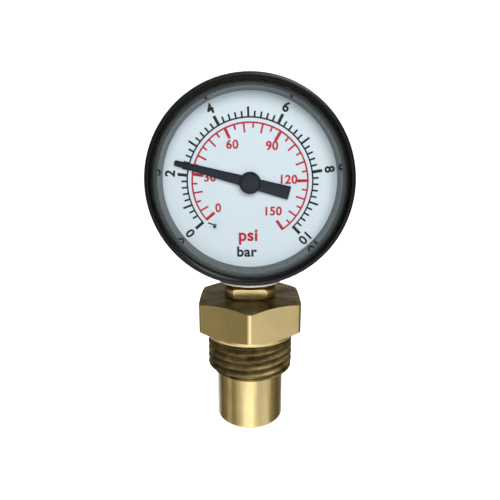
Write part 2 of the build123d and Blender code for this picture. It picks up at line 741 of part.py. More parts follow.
def make_adapter():
    across_corners = hex_flats / cos(radians(30)) / 2
    drop = (across_corners - hex_flats / 2) * tan(radians(hex_chamfer_angle))
    edge = hex_flats / 2 - 0.15
    low = washer_face_height
    hexagon = Pos(0, 0, low) * extrude(Rot(0, 0, 30) * RegularPolygon(across_corners, 6), hex_height)
    hexagon &= about_stem(sharp([
        (0, low),
        (edge, low),
        (across_corners, low + drop + 0.09),
        (across_corners, hex_top - drop - 0.09),
        (edge, hex_top),
        (0, hex_top),
    ]))
    root = adapter_crest - adapter_tooth
    points = [(0, washer_face_height), (washer_face_radius, washer_face_height)]
    points += [(washer_face_radius, 0.2), (washer_face_radius - 0.2, 0)]
    points += [(adapter_crest + seat_gap, 0), (adapter_crest, seat_relief), (root, seat_relief)]
    start = -thread_run_out - adapter_turns * adapter_pitch
    teeth = ridges(adapter_crest, adapter_tooth, adapter_pitch, start, adapter_turns)
    points += list(reversed(teeth))
    points += [(root, thread_bottom + 0.3), (root - 0.3, thread_bottom)]
    points += [(spigot_radius, thread_bottom), (spigot_radius, spigot_bottom + spigot_chamfer)]
    points += [(spigot_radius - spigot_chamfer, spigot_bottom), (0, spigot_bottom)]
    body = hexagon + about_stem(sharp(points))
    tap_start = port_start - 2 * port_pitch
    crest = port_crest + port_clearance
    tap = [(0, tap_start)]
    tap += ridges(crest, port_tooth, port_pitch, tap_start, port_turns + 3)
    top = tap_start + (port_turns + 3) * port_pitch
    tap += [(crest - port_tooth, max(top, hex_top) + 1), (0, max(top, hex_top) + 1)]
    body -= about_stem(sharp(tap))
    mouth_depth = port_mouth_radius - (crest - port_tooth)
    body -= about_stem(sharp([
        (0, hex_top - mouth_depth),
        (crest - port_tooth, hex_top - mouth_depth),
        (port_mouth_radius, hex_top),
        (port_mouth_radius, hex_top + 1),
        (0, hex_top + 1),
    ]))
    body -= upright(inlet_radius, spigot_bottom - 1, port_start)
    return body


def make_rear_screws():
    solids = []
    for spot in rear_screw_spots:
        tip = cavity_back_y - rear_screw_length + rear_screw_tip_gap
        shank = rod(rear_screw_radius, spot, tip, case_back_y)
        head = slotted_head(rear_screw_head, rear_screw_head_height, case_back_y, spot, 1)
        solids.append(shank + head)
    return Compound(children=solids)


pieces = {
    "case": make_case,
    "window": make_window,
    "dial": make_dial,
    "stop_pin": make_stop_pin,
    "pointer": make_pointer,
    "pointer_bush": make_pointer_bush,
    "pinion_shaft": make_pinion_shaft,
    "sector_gear": make_sector_gear,
    "sector_arbor": make_sector_arbor,
    "sector_pin": make_sector_pin,
    "link": make_link,
    "bourdon_tube": make_bourdon_tube,
    "tube_end": make_tube_end,
    "tip_pin": make_tip_pin,
    "back_plate": make_back_plate,
    "front_plate": make_front_plate,
    "pillars": make_pillars,
    "plate_screws": make_plate_screws,
    "movement_screws": make_movement_screws,
    "hairspring": make_hairspring,
    "hairspring_collet": make_hairspring_collet,
    "hairspring_stud": make_hairspring_stud,
    "stem": make_stem,
    "restrictor": make_restrictor,
    "stem_bush": make_stem_bush,
    "port_gasket": make_port_gasket,
    "adapter": make_adapter,
    "rear_screws": make_rear_screws,
}

os.makedirs("parts", exist_ok=True)
for name, make in pieces.items():
    save(name, make())

print("dial axis z", dial_height, "sector pivot", sector_pivot, "swing centre", swing_centre)
print("tail pin", tail_pin, "tip pin", tip_pin, "pointer span", pointer_span)
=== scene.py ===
"""Looks of a small pressure gauge: moulded case, clear window, printed dial and brass adapter."""

from math import atan2, cos, hypot, pi, radians, sin, sqrt, tan

import bmesh
import bpy
from bpy.props import FloatProperty, FloatVectorProperty, IntProperty, PointerProperty
from bpy.types import Operator, Panel, PropertyGroup
from mathutils import Matrix, Vector


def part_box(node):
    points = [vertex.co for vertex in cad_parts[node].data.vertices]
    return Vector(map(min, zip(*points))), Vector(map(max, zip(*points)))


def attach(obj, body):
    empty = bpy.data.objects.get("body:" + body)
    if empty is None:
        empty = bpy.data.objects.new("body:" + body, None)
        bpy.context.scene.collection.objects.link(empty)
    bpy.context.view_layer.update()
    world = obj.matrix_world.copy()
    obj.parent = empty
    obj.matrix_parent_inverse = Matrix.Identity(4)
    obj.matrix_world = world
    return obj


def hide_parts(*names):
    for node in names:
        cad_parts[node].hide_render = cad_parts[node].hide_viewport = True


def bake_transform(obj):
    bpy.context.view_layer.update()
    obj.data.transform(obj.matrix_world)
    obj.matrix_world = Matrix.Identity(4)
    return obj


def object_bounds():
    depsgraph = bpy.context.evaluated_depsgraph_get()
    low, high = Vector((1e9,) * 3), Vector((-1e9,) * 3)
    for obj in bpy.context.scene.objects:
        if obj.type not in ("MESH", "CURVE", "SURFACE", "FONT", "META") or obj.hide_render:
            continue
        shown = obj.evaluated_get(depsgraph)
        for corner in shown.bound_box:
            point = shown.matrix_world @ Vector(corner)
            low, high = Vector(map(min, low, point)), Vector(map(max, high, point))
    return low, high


bl_info = {
    "name": "Pressure Gauge",
    "version": (1, 0, 0),
    "blender": (4, 5, 0),
    "location": "3D View > Sidebar > Gauge",
    "description": "Builds a 40 mm dial pressure gauge that stands on a brass thread adapter",
    "category": "Add Mesh",
}

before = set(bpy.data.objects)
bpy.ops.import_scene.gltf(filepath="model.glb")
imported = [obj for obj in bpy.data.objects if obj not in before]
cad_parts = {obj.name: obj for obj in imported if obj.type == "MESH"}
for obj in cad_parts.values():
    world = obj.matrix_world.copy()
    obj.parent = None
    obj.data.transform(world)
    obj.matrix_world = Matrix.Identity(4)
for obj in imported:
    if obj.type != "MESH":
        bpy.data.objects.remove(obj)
cad_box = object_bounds()

MM = 0.001
SHARP = radians(26)                 # edges sharper than this stay hard
BAR_PER_PSI = 0.0689476
CASE_LOW, CASE_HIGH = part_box("case")
WINDOW_LOW, WINDOW_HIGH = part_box("window")
DIAL_LOW, DIAL_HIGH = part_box("dial")
AXIS = (DIAL_LOW.z + DIAL_HIGH.z) / 2          # height of the dial's axis
POINTER_LOW, POINTER_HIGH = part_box("pointer")
ADAPTER_LOW, ADAPTER_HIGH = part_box("adapter")
SCREWS_LOW, SCREWS_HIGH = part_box("rear_screws")
SCREW_HEAD = (SCREWS_HIGH.z - SCREWS_LOW.z) / 2
SCREW_HEIGHT = (SCREWS_HIGH.z + SCREWS_LOW.z) / 2
SCREW_SPACING = SCREWS_HIGH.x - SCREWS_LOW.x - 2 * SCREW_HEAD
TUBE_LOW, TUBE_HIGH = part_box("bourdon_tube")


# ---- sizes and colours that a user changes --------------------------------------------------------
def length(name, description, default):
    return FloatProperty(name=name, description=description, default=default, unit="LENGTH", precision=5)


def colour(name, description, default):
    return FloatVectorProperty(name=name, description=description, default=default, subtype="COLOR",
                               size=3, min=0.0, max=1.0)


class GaugeSizes(PropertyGroup):
    """Sizes of the details that the frame leaves open."""
    facets: IntProperty(name="Facets", description="Steps round a turned piece", default=216, min=24)
    ink_depth: length("Ink depth", "How far the print stands off the dial", 0.015 * MM)
    thin_tick: length("Thin tick", "Width of the fine scale marks", 0.39 * MM)
    thick_tick: length("Thick tick", "Width of the marks that carry a numeral", 0.64 * MM)
    bar_digit: length("Bar digit", "Height of the black numerals", 2.15 * MM)
    psi_digit: length("psi digit", "Height of the red numerals", 1.95 * MM)
    thread_pitch: length("Thread pitch", "Rise of the adapter's thread in one turn", 1.814 * MM)
    thread_depth: length("Thread depth", "Depth of the adapter's thread", 1.162 * MM)
    corner_round: length("Hexagon corner round", "Round on the hexagon's upright edges", 1.5 * MM)


class GaugeColours(PropertyGroup):
    """Colours of the finishes."""
    case: colour("Case", "Moulded plastic of the case", (0.0048, 0.0056, 0.0060))
    # Painted reflection: the skirt's grey stands in for the lit dial mirrored in the clear plastic.
    skirt: colour("Window skirt", "Edge of the clear moulding where it stands on the dial",
                  (0.062, 0.074, 0.074))
    dial: colour("Dial", "Enamel of the dial", (0.80, 0.87, 0.965))
    # Painted shade: the lip is darker than the case's own plastic, standing in for the shade in the groove
    # between the rim and the window.
    lip: colour("Lip", "Polished edge of the rim round the window", (0.0015, 0.0017, 0.0018))
    black_ink: colour("Black ink", "Bar scale", (0.012, 0.013, 0.015))
    red_ink: colour("Red ink", "psi scale", (0.56, 0.010, 0.032))
    pointer: colour("Pointer", "Paint of the pointer", (0.011, 0.015, 0.026))
    brass: colour("Brass", "Turned and drawn brass", (0.86, 0.68, 0.34))
    # Darker brass on the thread; on the hexagon's top it is painted shade under the black case.
    thread: colour("Thread", "Brass left dull on the thread and the hexagon's top", (0.235, 0.172, 0.072))
    bush: colour("Bush", "White bush under the case", (0.80, 0.79, 0.74))


class GaugeStage(PropertyGroup):
    """Camera, floor and light."""
    distance: length("Camera distance", "From the stem's axis forward to the camera", 0.0991)
    height: length("Camera height", "Camera above the washer face", 0.0426)
    pitch: FloatProperty(name="Camera pitch", description="How far the camera looks down",
                         default=radians(12.7), subtype="ANGLE")
    lens: FloatProperty(name="Lens", description="Focal length in millimetres", default=30.2)
    key: FloatProperty(name="Key light", description="Power of the soft light in front", default=1.5)
    strip: FloatProperty(name="Edge light", description="Power of the light above the rim", default=0.85)


# ---- node trees -----------------------------------------------------------------------------------
def arithmetic(operation, reflected=False):
    def apply(self, other=None):
        pair = (other, self) if reflected else (self, other)
        values = {i: value for i, value in enumerate(pair) if value is not None}
        return self.graph.add("ShaderNodeMath", {"operation": operation}, values)
    return apply


class Value:
    """A node's output. Python's arithmetic on it adds Math nodes."""

    def __init__(self, graph, socket):
        self.graph = graph
        self.socket = socket

    __add__ = arithmetic("ADD")
    __radd__ = arithmetic("ADD", True)
    __sub__ = arithmetic("SUBTRACT")
    __rsub__ = arithmetic("SUBTRACT", True)
    __mul__ = arithmetic("MULTIPLY")
    __rmul__ = arithmetic("MULTIPLY", True)
    __truediv__ = arithmetic("DIVIDE")
    __rtruediv__ = arithmetic("DIVIDE", True)
    __pow__ = arithmetic("POWER")
    toward = arithmetic("ARCTAN2")
    sine = arithmetic("SINE")
    cosine = arithmetic("COSINE")


class Graph:
    """A node tree that is written from top to bottom."""

    def __init__(self, tree):
        self.tree = tree
        tree.nodes.clear()

    def add(self, kind, settings=None, inputs=None, output=0):
        """One node: its settings first, then its inputs as numbers or links."""
        node = self.tree.nodes.new(kind)
        for key, value in (settings or {}).items():
            if key == "stops":
                stops = node.color_ramp.elements
                while len(stops) < len(value):
                    stops.new(1.0)
                for stop, (place, tone) in zip(stops, value):
                    stop.position = place
                    stop.color = tone
            else:
                setattr(node, key, value)
        for key, value in (inputs or {}).items():
            if isinstance(value, Value):
                self.tree.links.new(value.socket, node.inputs[key])
            else:
                node.inputs[key].default_value = value
        return node if output is None else Value(self, node.outputs[output])

    def join(self, x, y, z):
        return self.add("ShaderNodeCombineXYZ", None, {0: x, 1: y, 2: z})

    def split(self, vector):
        parts = self.add("ShaderNodeSeparateXYZ", None, {0: vector}, None)
        return [Value(self, parts.outputs[i]) for i in range(3)]

    def noise(self, vector, scale, detail=2.0):
        return self.add("ShaderNodeTexNoise", None, {"Vector": vector, "Scale": scale, "Detail": detail})

    def between(self, share, low, high):
        """Colour between two colours, each of them a triple or a link."""
        low, high = [end if isinstance(end, Value) else (*end, 1.0) for end in (low, high)]
        settings = {"data_type": "RGBA", "clamp_factor": True}
        return self.add("ShaderNodeMix", settings, {0: share, 6: low, 7: high}, 2)

    def clamped(self, value):
        return self.add("ShaderNodeClamp", None, {0: value})


def shade(tone, share):
    """Colour times a share: darker under 1, lighter over it."""
    return tuple(part * share for part in tone)


class Finish(Graph):
    """A material with one main shader. Patterns follow the piece's own place in metres."""

    def __init__(self, name):
        self.material = bpy.data.materials.new(name)
        self.material.use_nodes = True
        super().__init__(self.material.node_tree)
        self.place = self.add("ShaderNodeTexCoord", None, None, "Object")

    def bump(self, height, depth, strength=1.0):
        values = {"Height": height, "Distance": depth, "Strength": strength}
        return self.add("ShaderNodeBump", None, values, "Normal")

    def surface(self, inputs):
        return self.add("ShaderNodeBsdfPrincipled", None, inputs)

    def show(self, shader):
        self.add("ShaderNodeOutputMaterial", None, {"Surface": shader}, None)
        return self.material

    def round_stem(self):
        """Distance from the stem's axis, turn about it and height."""
        x, y, z = self.split(self.place)
        return (x * x + y * y) ** 0.5, y.toward(x), z

    def round_dial(self):
        """Distance from the dial's axis, turn about it and depth."""
        x, y, z = self.split(self.place)
        rise = z - AXIS
        return (x * x + rise * rise) ** 0.5, rise.toward(x), y


def moulded(name, tone, gloss, grain=0.35, shine=0.5):
    """Moulded plastic: fine grain, slow change of tone and faint flow streaks round the dial."""
    paint = Finish(name)
    radius, angle, depth = paint.round_dial()
    flow = paint.noise(paint.join(radius * 900, depth * 900, angle * 1.4), 1.0, 3.0)
    cloud = paint.noise(paint.place, 260.0)
    texture = paint.noise(paint.place, 7000.0, 3.0)
    return paint.show(paint.surface({
        "Base Color": paint.between(0.65 * flow + 0.35 * cloud, shade(tone, 0.6), shade(tone, 1.45)),
        "Roughness": gloss - 0.08 + 0.12 * flow + 0.06 * cloud,
        "Normal": paint.bump(texture, 0.006 * MM, grain),
        "Specular IOR Level": shine,
    }))


def metal(name, tone, gloss, pattern="turned", depth=0.5):
    """Bare metal with lathe lines, drawn lines along the stem or a plain grain, and a slow tarnish."""
    paint = Finish(name)
    sway = 0.0
    if pattern == "turned":
        radius, angle, height = paint.round_stem()
        lines = paint.noise(paint.join(radius * 6500, height * 6500, angle * 0.8), 1.0, 3.0)
        sway = paint.noise(paint.join(angle * 3.2, height * 55, 0.0), 1.0, 2.0) * 0.22
    elif pattern == "drawn":
        x, y, z = paint.split(paint.place)
        lines = paint.noise(paint.join(x * 3800, y * 3800, z * 130), 1.0, 3.0)
    else:
        lines = paint.noise(paint.place, 5200.0, 3.0)
    cloud = paint.noise(paint.place, 190.0, 4.0)
    stain = paint.noise(paint.place, 900.0, 3.0)
    share = 1.3 * cloud + 0.35 * stain + 0.2 * lines - 0.45
    return paint.show(paint.surface({
        "Base Color": paint.between(share, shade(tone, 0.80), shade(tone, 1.06)),
        "Metallic": 1.0,
        "Roughness": gloss + 0.10 * lines + 0.10 * stain - 0.07,
        "Normal": paint.bump(lines * 0.0022 + sway, MM, depth),
    }))


def tarnished(name, tone):
    """Darker brass for the thread, and painted shade on the hexagon's top, which faces the black case:
    brown patches and greenish oil marks that run round and down the thread.
    """
    paint = Finish(name)
    radius, angle, height = paint.round_stem()
    patches = paint.noise(paint.join(angle * 2.2, height * 420, radius * 90), 1.0, 4.0)
    marks = paint.noise(paint.join(angle * 5.0, height * 160, radius * 300), 1.0, 3.0)
    speckle = paint.noise(paint.place, 2400.0, 3.0)
    share = 3.4 * patches + 1.0 * speckle - 1.7
    brown = paint.between(share, shade(tone, 0.35), shade(tone, 1.8))
    green = (tone[0] * 0.75, tone[1] * 0.95, tone[2] * 0.9)
    return paint.show(paint.surface({
        "Base Color": paint.between(3.0 * marks - 1.45, brown, green),
        "Metallic": 0.85,
        "Roughness": 0.40 + 0.22 * speckle,
        "Normal": paint.bump(speckle, 0.02 * MM, 0.6),
    }))


def enamel(name, tone):
    """Sprayed white of the dial, with a faint orange peel, and painted shade that darkens it toward its rim
    under the skirt and the case rim.
    """
    paint = Finish(name)
    radius = paint.round_dial()[0]
    peel = paint.noise(paint.place, 1600.0, 2.0)
    cloud = paint.noise(paint.place, 120.0, 3.0)
    return paint.show(paint.surface({
        # Painted shade: the colour darkens with the distance from the dial's axis.
        "Base Color": paint.between(0.5 * cloud + 22.0 * radius, shade(tone, 1.02), shade(tone, 0.94)),
        "Roughness": 0.42 + 0.10 * peel,
        "Normal": paint.bump(peel, 0.004 * MM, 0.3),
    }))


def ink(name, tone):
    """Pad-printed ink, a little uneven in density."""
    paint = Finish(name)
    density = paint.noise(paint.place, 2600.0, 3.0)
    return paint.show(paint.surface({
        "Base Color": paint.between(density, shade(tone, 0.82), shade(tone, 1.12)),
        "Roughness": 0.38 + 0.15 * density,
    }))


def clear(name):
    """Clear moulding: see-through straight on, a mirror at a glancing angle."""
    paint = Finish(name)
    haze = paint.noise(paint.place, 420.0, 3.0)
    gloss = paint.surface({"Base Color": (0.02, 0.02, 0.02, 1.0), "Roughness": 0.02 + 0.03 * haze})
    through = paint.add("ShaderNodeBsdfTransparent", None, {"Color": (0.97, 0.985, 0.98, 1.0)})
    share = paint.add("ShaderNodeFresnel", None, {"IOR": 1.46})
    return paint.show(paint.add("ShaderNodeMixShader", None, {0: share, 1: through, 2: gloss}))


def glassy(name, tone):
    """Side of the clear moulding, backed by the black case, with a mirror gloss. Its opaque grey is painted
    reflection, standing in for the lit dial mirrored in the clear plastic.
    """
    paint = Finish(name)
    radius, angle, depth = paint.round_dial()
    flow = paint.noise(paint.join(radius * 700, depth * 500, angle * 3.0), 1.0, 2.0)
    return paint.show(paint.surface({
        "Base Color": paint.between(flow, shade(tone, 0.8), shade(tone, 1.2)),
        "Roughness": 0.03 + 0.05 * flow,
        "IOR": 1.5,
    }))


# ---- meshes ---------------------------------------------------------------------------------------
def link_object(name, mesh, materials):
    """Mesh as an object in the scene. Each face keeps its material slot."""
    piece = bpy.data.objects.new(name, mesh)
    bpy.context.scene.collection.objects.link(piece)
    if materials:
        slots = [face.material_index for face in mesh.polygons]
        mesh.materials.clear()
        for material in materials:
            mesh.materials.append(material)
        mesh.polygons.foreach_set("material_index", slots)
    return piece


def drop(*things):
    for thing in things:
        bpy.data.objects.remove(thing)


def shaded(mesh):
    """Smooth shading with hard edges kept."""
    for face in mesh.polygons:
        face.use_smooth = True
    mesh.set_sharp_from_angle(angle=SHARP)
    return mesh


def circle(count):
    """Equal turns round a full circle."""
    return [2 * pi * i / count for i in range(count)]


def turned(x, z, angle):
    """Spot on the dial's plane, turned about the origin."""
    return (x * cos(angle) - z * sin(angle), x * sin(angle) + z * cos(angle))


def outward(mesh):
    """Mesh with doubled points merged and normals outward."""
    shape = bmesh.new()
    shape.from_mesh(mesh)
    bmesh.ops.remove_doubles(shape, verts=shape.verts, dist=1e-8)
    bmesh.ops.recalc_face_normals(shape, faces=shape.faces)
    shape.to_mesh(mesh)
    shape.free()
    return mesh


def skin(name, rings, closed, slots=None):
    """Mesh over rings of points. A ring of one point is a pole, and closed joins last to first."""
    points, faces, slot_of_face, firsts = [], [], [], []
    for ring in rings:
        firsts.append(len(points))
        points += ring
    pairs = list(zip(range(len(rings)), range(1, len(rings))))
    if closed:
        pairs.append((len(rings) - 1, 0))
    for low, high in pairs:
        a, b = firsts[low], firsts[high]
        count = max(len(rings[low]), len(rings[high]))
        for i in range(count):
            j = (i + 1) % count
            corners = [a + i, a + j, b + j, b + i]
            if len(rings[low]) == 1:
                corners = [a, b + j, b + i]
            elif len(rings[high]) == 1:
                corners = [a + i, a + j, b]
            faces.append(corners)
            slot_of_face.append(slots[low] if slots else 0)
    mesh = bpy.data.meshes.new(name)
    mesh.from_pydata(points, [], faces)
    for face, slot in zip(mesh.polygons, slot_of_face):
        face.material_index = slot
    return outward(mesh)


def capped(name, rings):
    """Mesh over rings whose first and last are closed by one flat face each."""
    points = [point for ring in rings for point in ring]
    size, last = len(rings[0]), len(rings[0]) * (len(rings) - 1)
    faces = [list(range(size)), list(range(last, last + size))]
    for k in range(len(rings) - 1):
        for i in range(size):
            j = (i + 1) % size
            faces.append([k * size + i, k * size + j, (k + 1) * size + j, (k + 1) * size + i])
    mesh = bpy.data.meshes.new(name)
    mesh.from_pydata(points, [], faces)
    return outward(mesh)


def softened(corners, steps=5):
    """Open line through (a, b, round) corners, each rounded, with a point held beside each round."""
    line = []
    for i, (a, b, round_off) in enumerate(corners):
        here = Vector((a, b))
        if not round_off or i in (0, len(corners) - 1):
            line.append(here)
            continue
        before = (Vector(corners[i - 1][:2]) - here).normalized()
        after = (Vector(corners[i + 1][:2]) - here).normalized()
        cut = round_off / tan(before.angle(after) / 2)
        line.append(here + before * cut * 1.12)
        for k in range(steps + 1):
            t = k / steps
            line.append(here + before * cut * (1 - t) ** 2 + after * cut * t ** 2)
        line.append(here + after * cut * 1.12)
    return line


def about_dial(name, corners, facets, closed=False):
    """Turned piece about the dial's axis from (radius, depth, round) corners."""
    rings = []
    for radius, depth in softened(corners):
        if radius < 1e-7:
            rings.append([(0.0, depth, AXIS)])
        else:
            rings.append([on_dial(radius * cos(t), radius * sin(t), depth) for t in circle(facets)])
    return skin(name, rings, closed)


def on_dial(x, z, depth):
    return (x, depth, AXIS + z)


def joined(name, meshes):
    """One mesh from several, with their material slots as they are."""
    shape = bmesh.new()
    for mesh in meshes:
        shape.from_mesh(mesh)
    result = bpy.data.meshes.new(name)
    shape.to_mesh(result)
    shape.free()
    return result


def carved(name, mesh, tool, operation):
    """Mesh after one boolean with a tool mesh."""
    body, cutter = link_object(name + "_body", mesh, []), link_object(name + "_tool", tool, [])
    step = body.modifiers.new("carve", "BOOLEAN")
    step.operation = operation
    step.solver = "EXACT"
    step.object = cutter
    result = evaluated_mesh(body)
    drop(body, cutter)
    return result


def evaluated_mesh(piece):
    """Plain mesh of an object with its modifiers applied."""
    graph = bpy.context.evaluated_depsgraph_get()
    return bpy.data.meshes.new_from_object(piece.evaluated_get(graph))


def upright_rod(name, radius, low, high):
    """Rod on the stem's axis."""
    return capped(name, [[(radius * cos(t), radius * sin(t), z) for t in circle(120)] for z in (low, high)])


def depth_rod(name, radius, x, z, front, back):
    """Rod that runs from front to back."""
    rings = [[(x + radius * cos(t), y, z + radius * sin(t)) for t in circle(48)] for y in (front, back)]
    return capped(name, rings)


def place_piece(name, mesh, materials, body, slot, *nodes):
    """A finished piece on its body, with the nodes that it stands for. Its record slot is not used."""
    piece = link_object(name, shaded(mesh), materials)
    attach(piece, body)
    if nodes:
        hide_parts(*nodes)
    return piece


# ---- geometry node trees --------------------------------------------------------------------------
def node_tree(name, inputs):
    """Empty geometry tree with named inputs, and those inputs as values."""
    tree = bpy.data.node_groups.new(name, "GeometryNodeTree")
    tree.interface.new_socket(name="Geometry", in_out="OUTPUT", socket_type="NodeSocketGeometry")
    tree.interface.new_socket(name="Geometry", in_out="INPUT", socket_type="NodeSocketGeometry")
    for key, kind in inputs.items():
        tree.interface.new_socket(name=key, in_out="INPUT", socket_type="NodeSocket" + kind)
    graph = Graph(tree)
    source = graph.add("NodeGroupInput", None, None, None)
    return graph, {socket.name: Value(graph, socket) for socket in source.outputs if socket.name}


def close_tree(graph, geometry, material):
    """The tree, with its copies made real and painted."""
    real = graph.add("GeometryNodeRealizeInstances", None, {"Geometry": geometry})
    painted = graph.add("GeometryNodeSetMaterial", None, {"Geometry": real, "Material": material})
    graph.add("NodeGroupOutput", None, {"Geometry": painted}, None)
    return graph.tree


def grown(name, tree, values, mesh=None):
    """Plain mesh that a geometry tree makes from the given inputs."""
    seed = link_object(name, mesh or bpy.data.meshes.new(name), [])
    step = seed.modifiers.new("grow", "NODES")
    step.node_group = tree
    for socket in tree.interface.items_tree:
        if socket.in_out == "INPUT" and socket.name in values:
            step[socket.identifier] = values[socket.name]
    result = evaluated_mesh(seed)
    drop(seed)
    return result


def tick_tree():
    """Bars that point at the dial's centre, at equal turns from a first angle."""
    graph, given = node_tree("dial_ticks", {
        "Count": "Int", "First": "Float", "Turn": "Float", "Inner": "Float", "Outer": "Float",
        "Width": "Float", "Depth": "Float", "Front": "Float", "Ink": "Material"})
    index = graph.add("GeometryNodeInputIndex")
    angle = given["First"] + given["Turn"] * index
    middle = (given["Inner"] + given["Outer"]) * 0.5
    spot = graph.join(angle.cosine() * middle, given["Front"], angle.sine() * middle + AXIS)
    points = graph.add("GeometryNodePoints", None, {"Count": given["Count"], "Position": spot})
    size = graph.join(given["Outer"] - given["Inner"], given["Depth"], given["Width"])
    bar = graph.add("GeometryNodeMeshCube", None, {"Size": size})
    facing = graph.join(0.0, angle * -1.0, 0.0)
    bars = graph.add("GeometryNodeInstanceOnPoints", None,
                     {"Points": points, "Instance": bar, "Rotation": facing})
    return close_tree(graph, bars, given["Ink"])


def screw_tree():
    """Copies of the given screw, evenly spaced on a level line."""
    graph, given = node_tree("screw_row", {"Count": "Int", "Spacing": "Float", "Height": "Float",
                                           "Metal": "Material"})
    start = graph.join(given["Spacing"] * -0.5, 0.0, given["Height"])
    step = graph.join(given["Spacing"], 0.0, 0.0)
    row = graph.add("GeometryNodeMeshLine", {"mode": "OFFSET"},
                    {"Count": given["Count"], "Start Location": start, "Offset": step})
    screws = graph.add("GeometryNodeInstanceOnPoints", None, {"Points": row, "Instance": given["Geometry"]})
    return close_tree(graph, screws, given["Metal"])


# ---- operators ------------------------------------------------------------------------------------
class GAUGE_OT_case(Operator):
    """Build the moulded case with its rim, lip, stem boss and screw holes"""
    bl_idname = "gauge.case"
    bl_label = "Case"

    def execute(self, context):
        sizes, colours = context.scene.gauge_sizes, context.scene.gauge_colours
        rim, front, back, boss_low = CASE_HIGH.x, CASE_LOW.y, CASE_HIGH.y, CASE_LOW.z
        pocket = DIAL_HIGH.x + 0.05 * MM
        body = rim - 0.9 * MM
        wall = 1.5 * MM
        cavity = body - wall
        rim_back = front + 8.0 * MM
        ledge = DIAL_HIGH.y
        ledge_in = pocket - 1.65 * MM
        groove = front + 2.95 * MM
        lip = 0.55 * MM
        boss_radius, hole_radius, screw_hole = 8.6 * MM, 7.3 * MM, 1.4 * MM
        shell = about_dial("case_shell", [
            (0.0, back, 0),
            (body, back, 1.6 * MM),
            (body, rim_back, 0),
            (rim, rim_back, 0.4 * MM),
            (rim, front, 0.9 * MM),
            (pocket + lip, front, 0.12 * MM),
            (pocket, front + lip, 0.1 * MM),
            (pocket, groove - 0.4 * MM, 0),
            (pocket + 0.3 * MM, groove, 0),
            (pocket + 0.3 * MM, groove + 0.8 * MM, 0),
            (pocket, groove + 1.2 * MM, 0),
            (pocket, ledge, 0),
            (ledge_in, ledge, 0),
            (ledge_in, ledge + 1.2 * MM, 0),
            (cavity, ledge + 1.8 * MM, 0),
            (cavity, back - wall, 0),
            (0.0, back - wall, 0),
        ], sizes.facets)
        boss_top = AXIS - cavity + 2.4 * MM
        boss = upright_rod("boss", boss_radius, boss_low, boss_top)
        shell = carved("case", shell, boss, "UNION")
        hole = upright_rod("stem_hole", hole_radius, boss_low - MM, boss_top + MM)
        shell = carved("case", shell, hole, "DIFFERENCE")
        for side in (-0.5, 0.5):
            x, start = side * SCREW_SPACING, back - wall - MM
            screw = depth_rod("screw_hole", screw_hole, x, SCREW_HEIGHT, start, back + MM)
            shell = carved("case", shell, screw, "DIFFERENCE")
        # Painted shade: the faces of the lip take the darker lip plastic, for the shade in the groove round
        # the window.
        near_lip = lip + 0.01 * MM
        for face in shell.polygons:
            reach = hypot(face.center.x, face.center.z - AXIS)
            on_lip_with_painted_shade = pocket < reach < pocket + near_lip and face.center.y < front + near_lip
            face.material_index = 1 if on_lip_with_painted_shade and abs(face.normal.y) < 0.95 else 0
        finishes = [moulded("case_plastic", colours.case, 0.30, 0.35, 0.30),
                    moulded("case_lip", colours.lip, 0.30, 0.1, 0.2)]
        place_piece("gauge_case", shell, finishes, "gauge_body", "case_plastic", "case")
        return {"FINISHED"}


class GAUGE_OT_window(Operator):
    """Build the clear window and the skirt that snaps it into the case"""
    bl_idname = "gauge.window"
    bl_label = "Window"

    def execute(self, context):
        sizes, colours = context.scene.gauge_sizes, context.scene.gauge_colours
        front = WINDOW_LOW.y
        back = front + 1.4 * MM
        bead = WINDOW_HIGH.x
        edge = bead - 0.3 * MM
        inner = edge - 0.9 * MM
        gap = 0.02 * MM
        disc = about_dial("disc", [
            (0.0, front, 0),
            (edge, front, 0.25 * MM),
            (edge, back, 0),
            (0.0, back, 0),
        ], sizes.facets)
        skirt = about_dial("skirt", [
            (edge, back + gap, 0),
            (edge, back + 0.7 * MM, 0),
            (bead, back + 1.0 * MM, 0),
            (bead, back + 1.8 * MM, 0),
            (edge, back + 2.1 * MM, 0),
            (edge, WINDOW_HIGH.y, 0),
            (inner - 0.3 * MM, WINDOW_HIGH.y, 0),
            (inner, back + gap, 0),
        ], sizes.facets, closed=True)
        # The skirt's faces take the grey of painted reflection.
        for face in skirt.polygons:
            face.material_index = 1
        finishes = [clear("window_clear"), glassy("window_skirt", colours.skirt)]
        window = joined("window", [disc, skirt])
        place_piece("gauge_window", window, finishes, "gauge_body", "window_clear", "window")
        return {"FINISHED"}


BAR_TURN = -radians(27.38)      # turn for one bar
PSI_TURN = BAR_TURN * BAR_PER_PSI
FULL_BAR = radians(-45.4)       # direction of 10 bar
ZERO_MARK = radians(220.1)      # direction of both zeros, which stand a little up the scale


def bar_angle(value):
    """Direction of a reading in bar."""
    return FULL_BAR + BAR_TURN * (value - 10) if value else ZERO_MARK


def psi_angle(value):
    """Direction of a reading in psi."""
    return bar_angle(value * BAR_PER_PSI)


def written(text, across, size, centre, turn, front, depth):
    """Lettering on the dial, centred on a spot: its width (across 0) or height (across 1) and turn."""
    thickness = 0.02
    curve = bpy.data.curves.new("lettering", "FONT")
    curve.body = text
    curve.size = 1.0
    curve.offset = 0.032
    curve.space_character = 1.06
    curve.extrude = thickness / 2
    curve.resolution_u = 8
    piece = bpy.data.objects.new("lettering", curve)
    bpy.context.scene.collection.objects.link(piece)
    mesh = evaluated_mesh(piece)
    drop(piece)
    low, high = [Vector(pick(v.co[i] for v in mesh.vertices) for i in range(3)) for pick in (min, max)]
    scale = size / (high[across] - low[across])
    mesh.transform(Matrix.Translation(-(low + high) / 2))
    mesh.transform(Matrix.Diagonal((scale, scale, depth / thickness, 1.0)))
    mesh.transform(Matrix.Rotation(pi / 2, 4, "X"))
    mesh.transform(Matrix.Rotation(-turn, 4, "Y"))
    mesh.transform(Matrix.Translation((centre[0], front - depth / 2, AXIS + centre[1])))
    return mesh


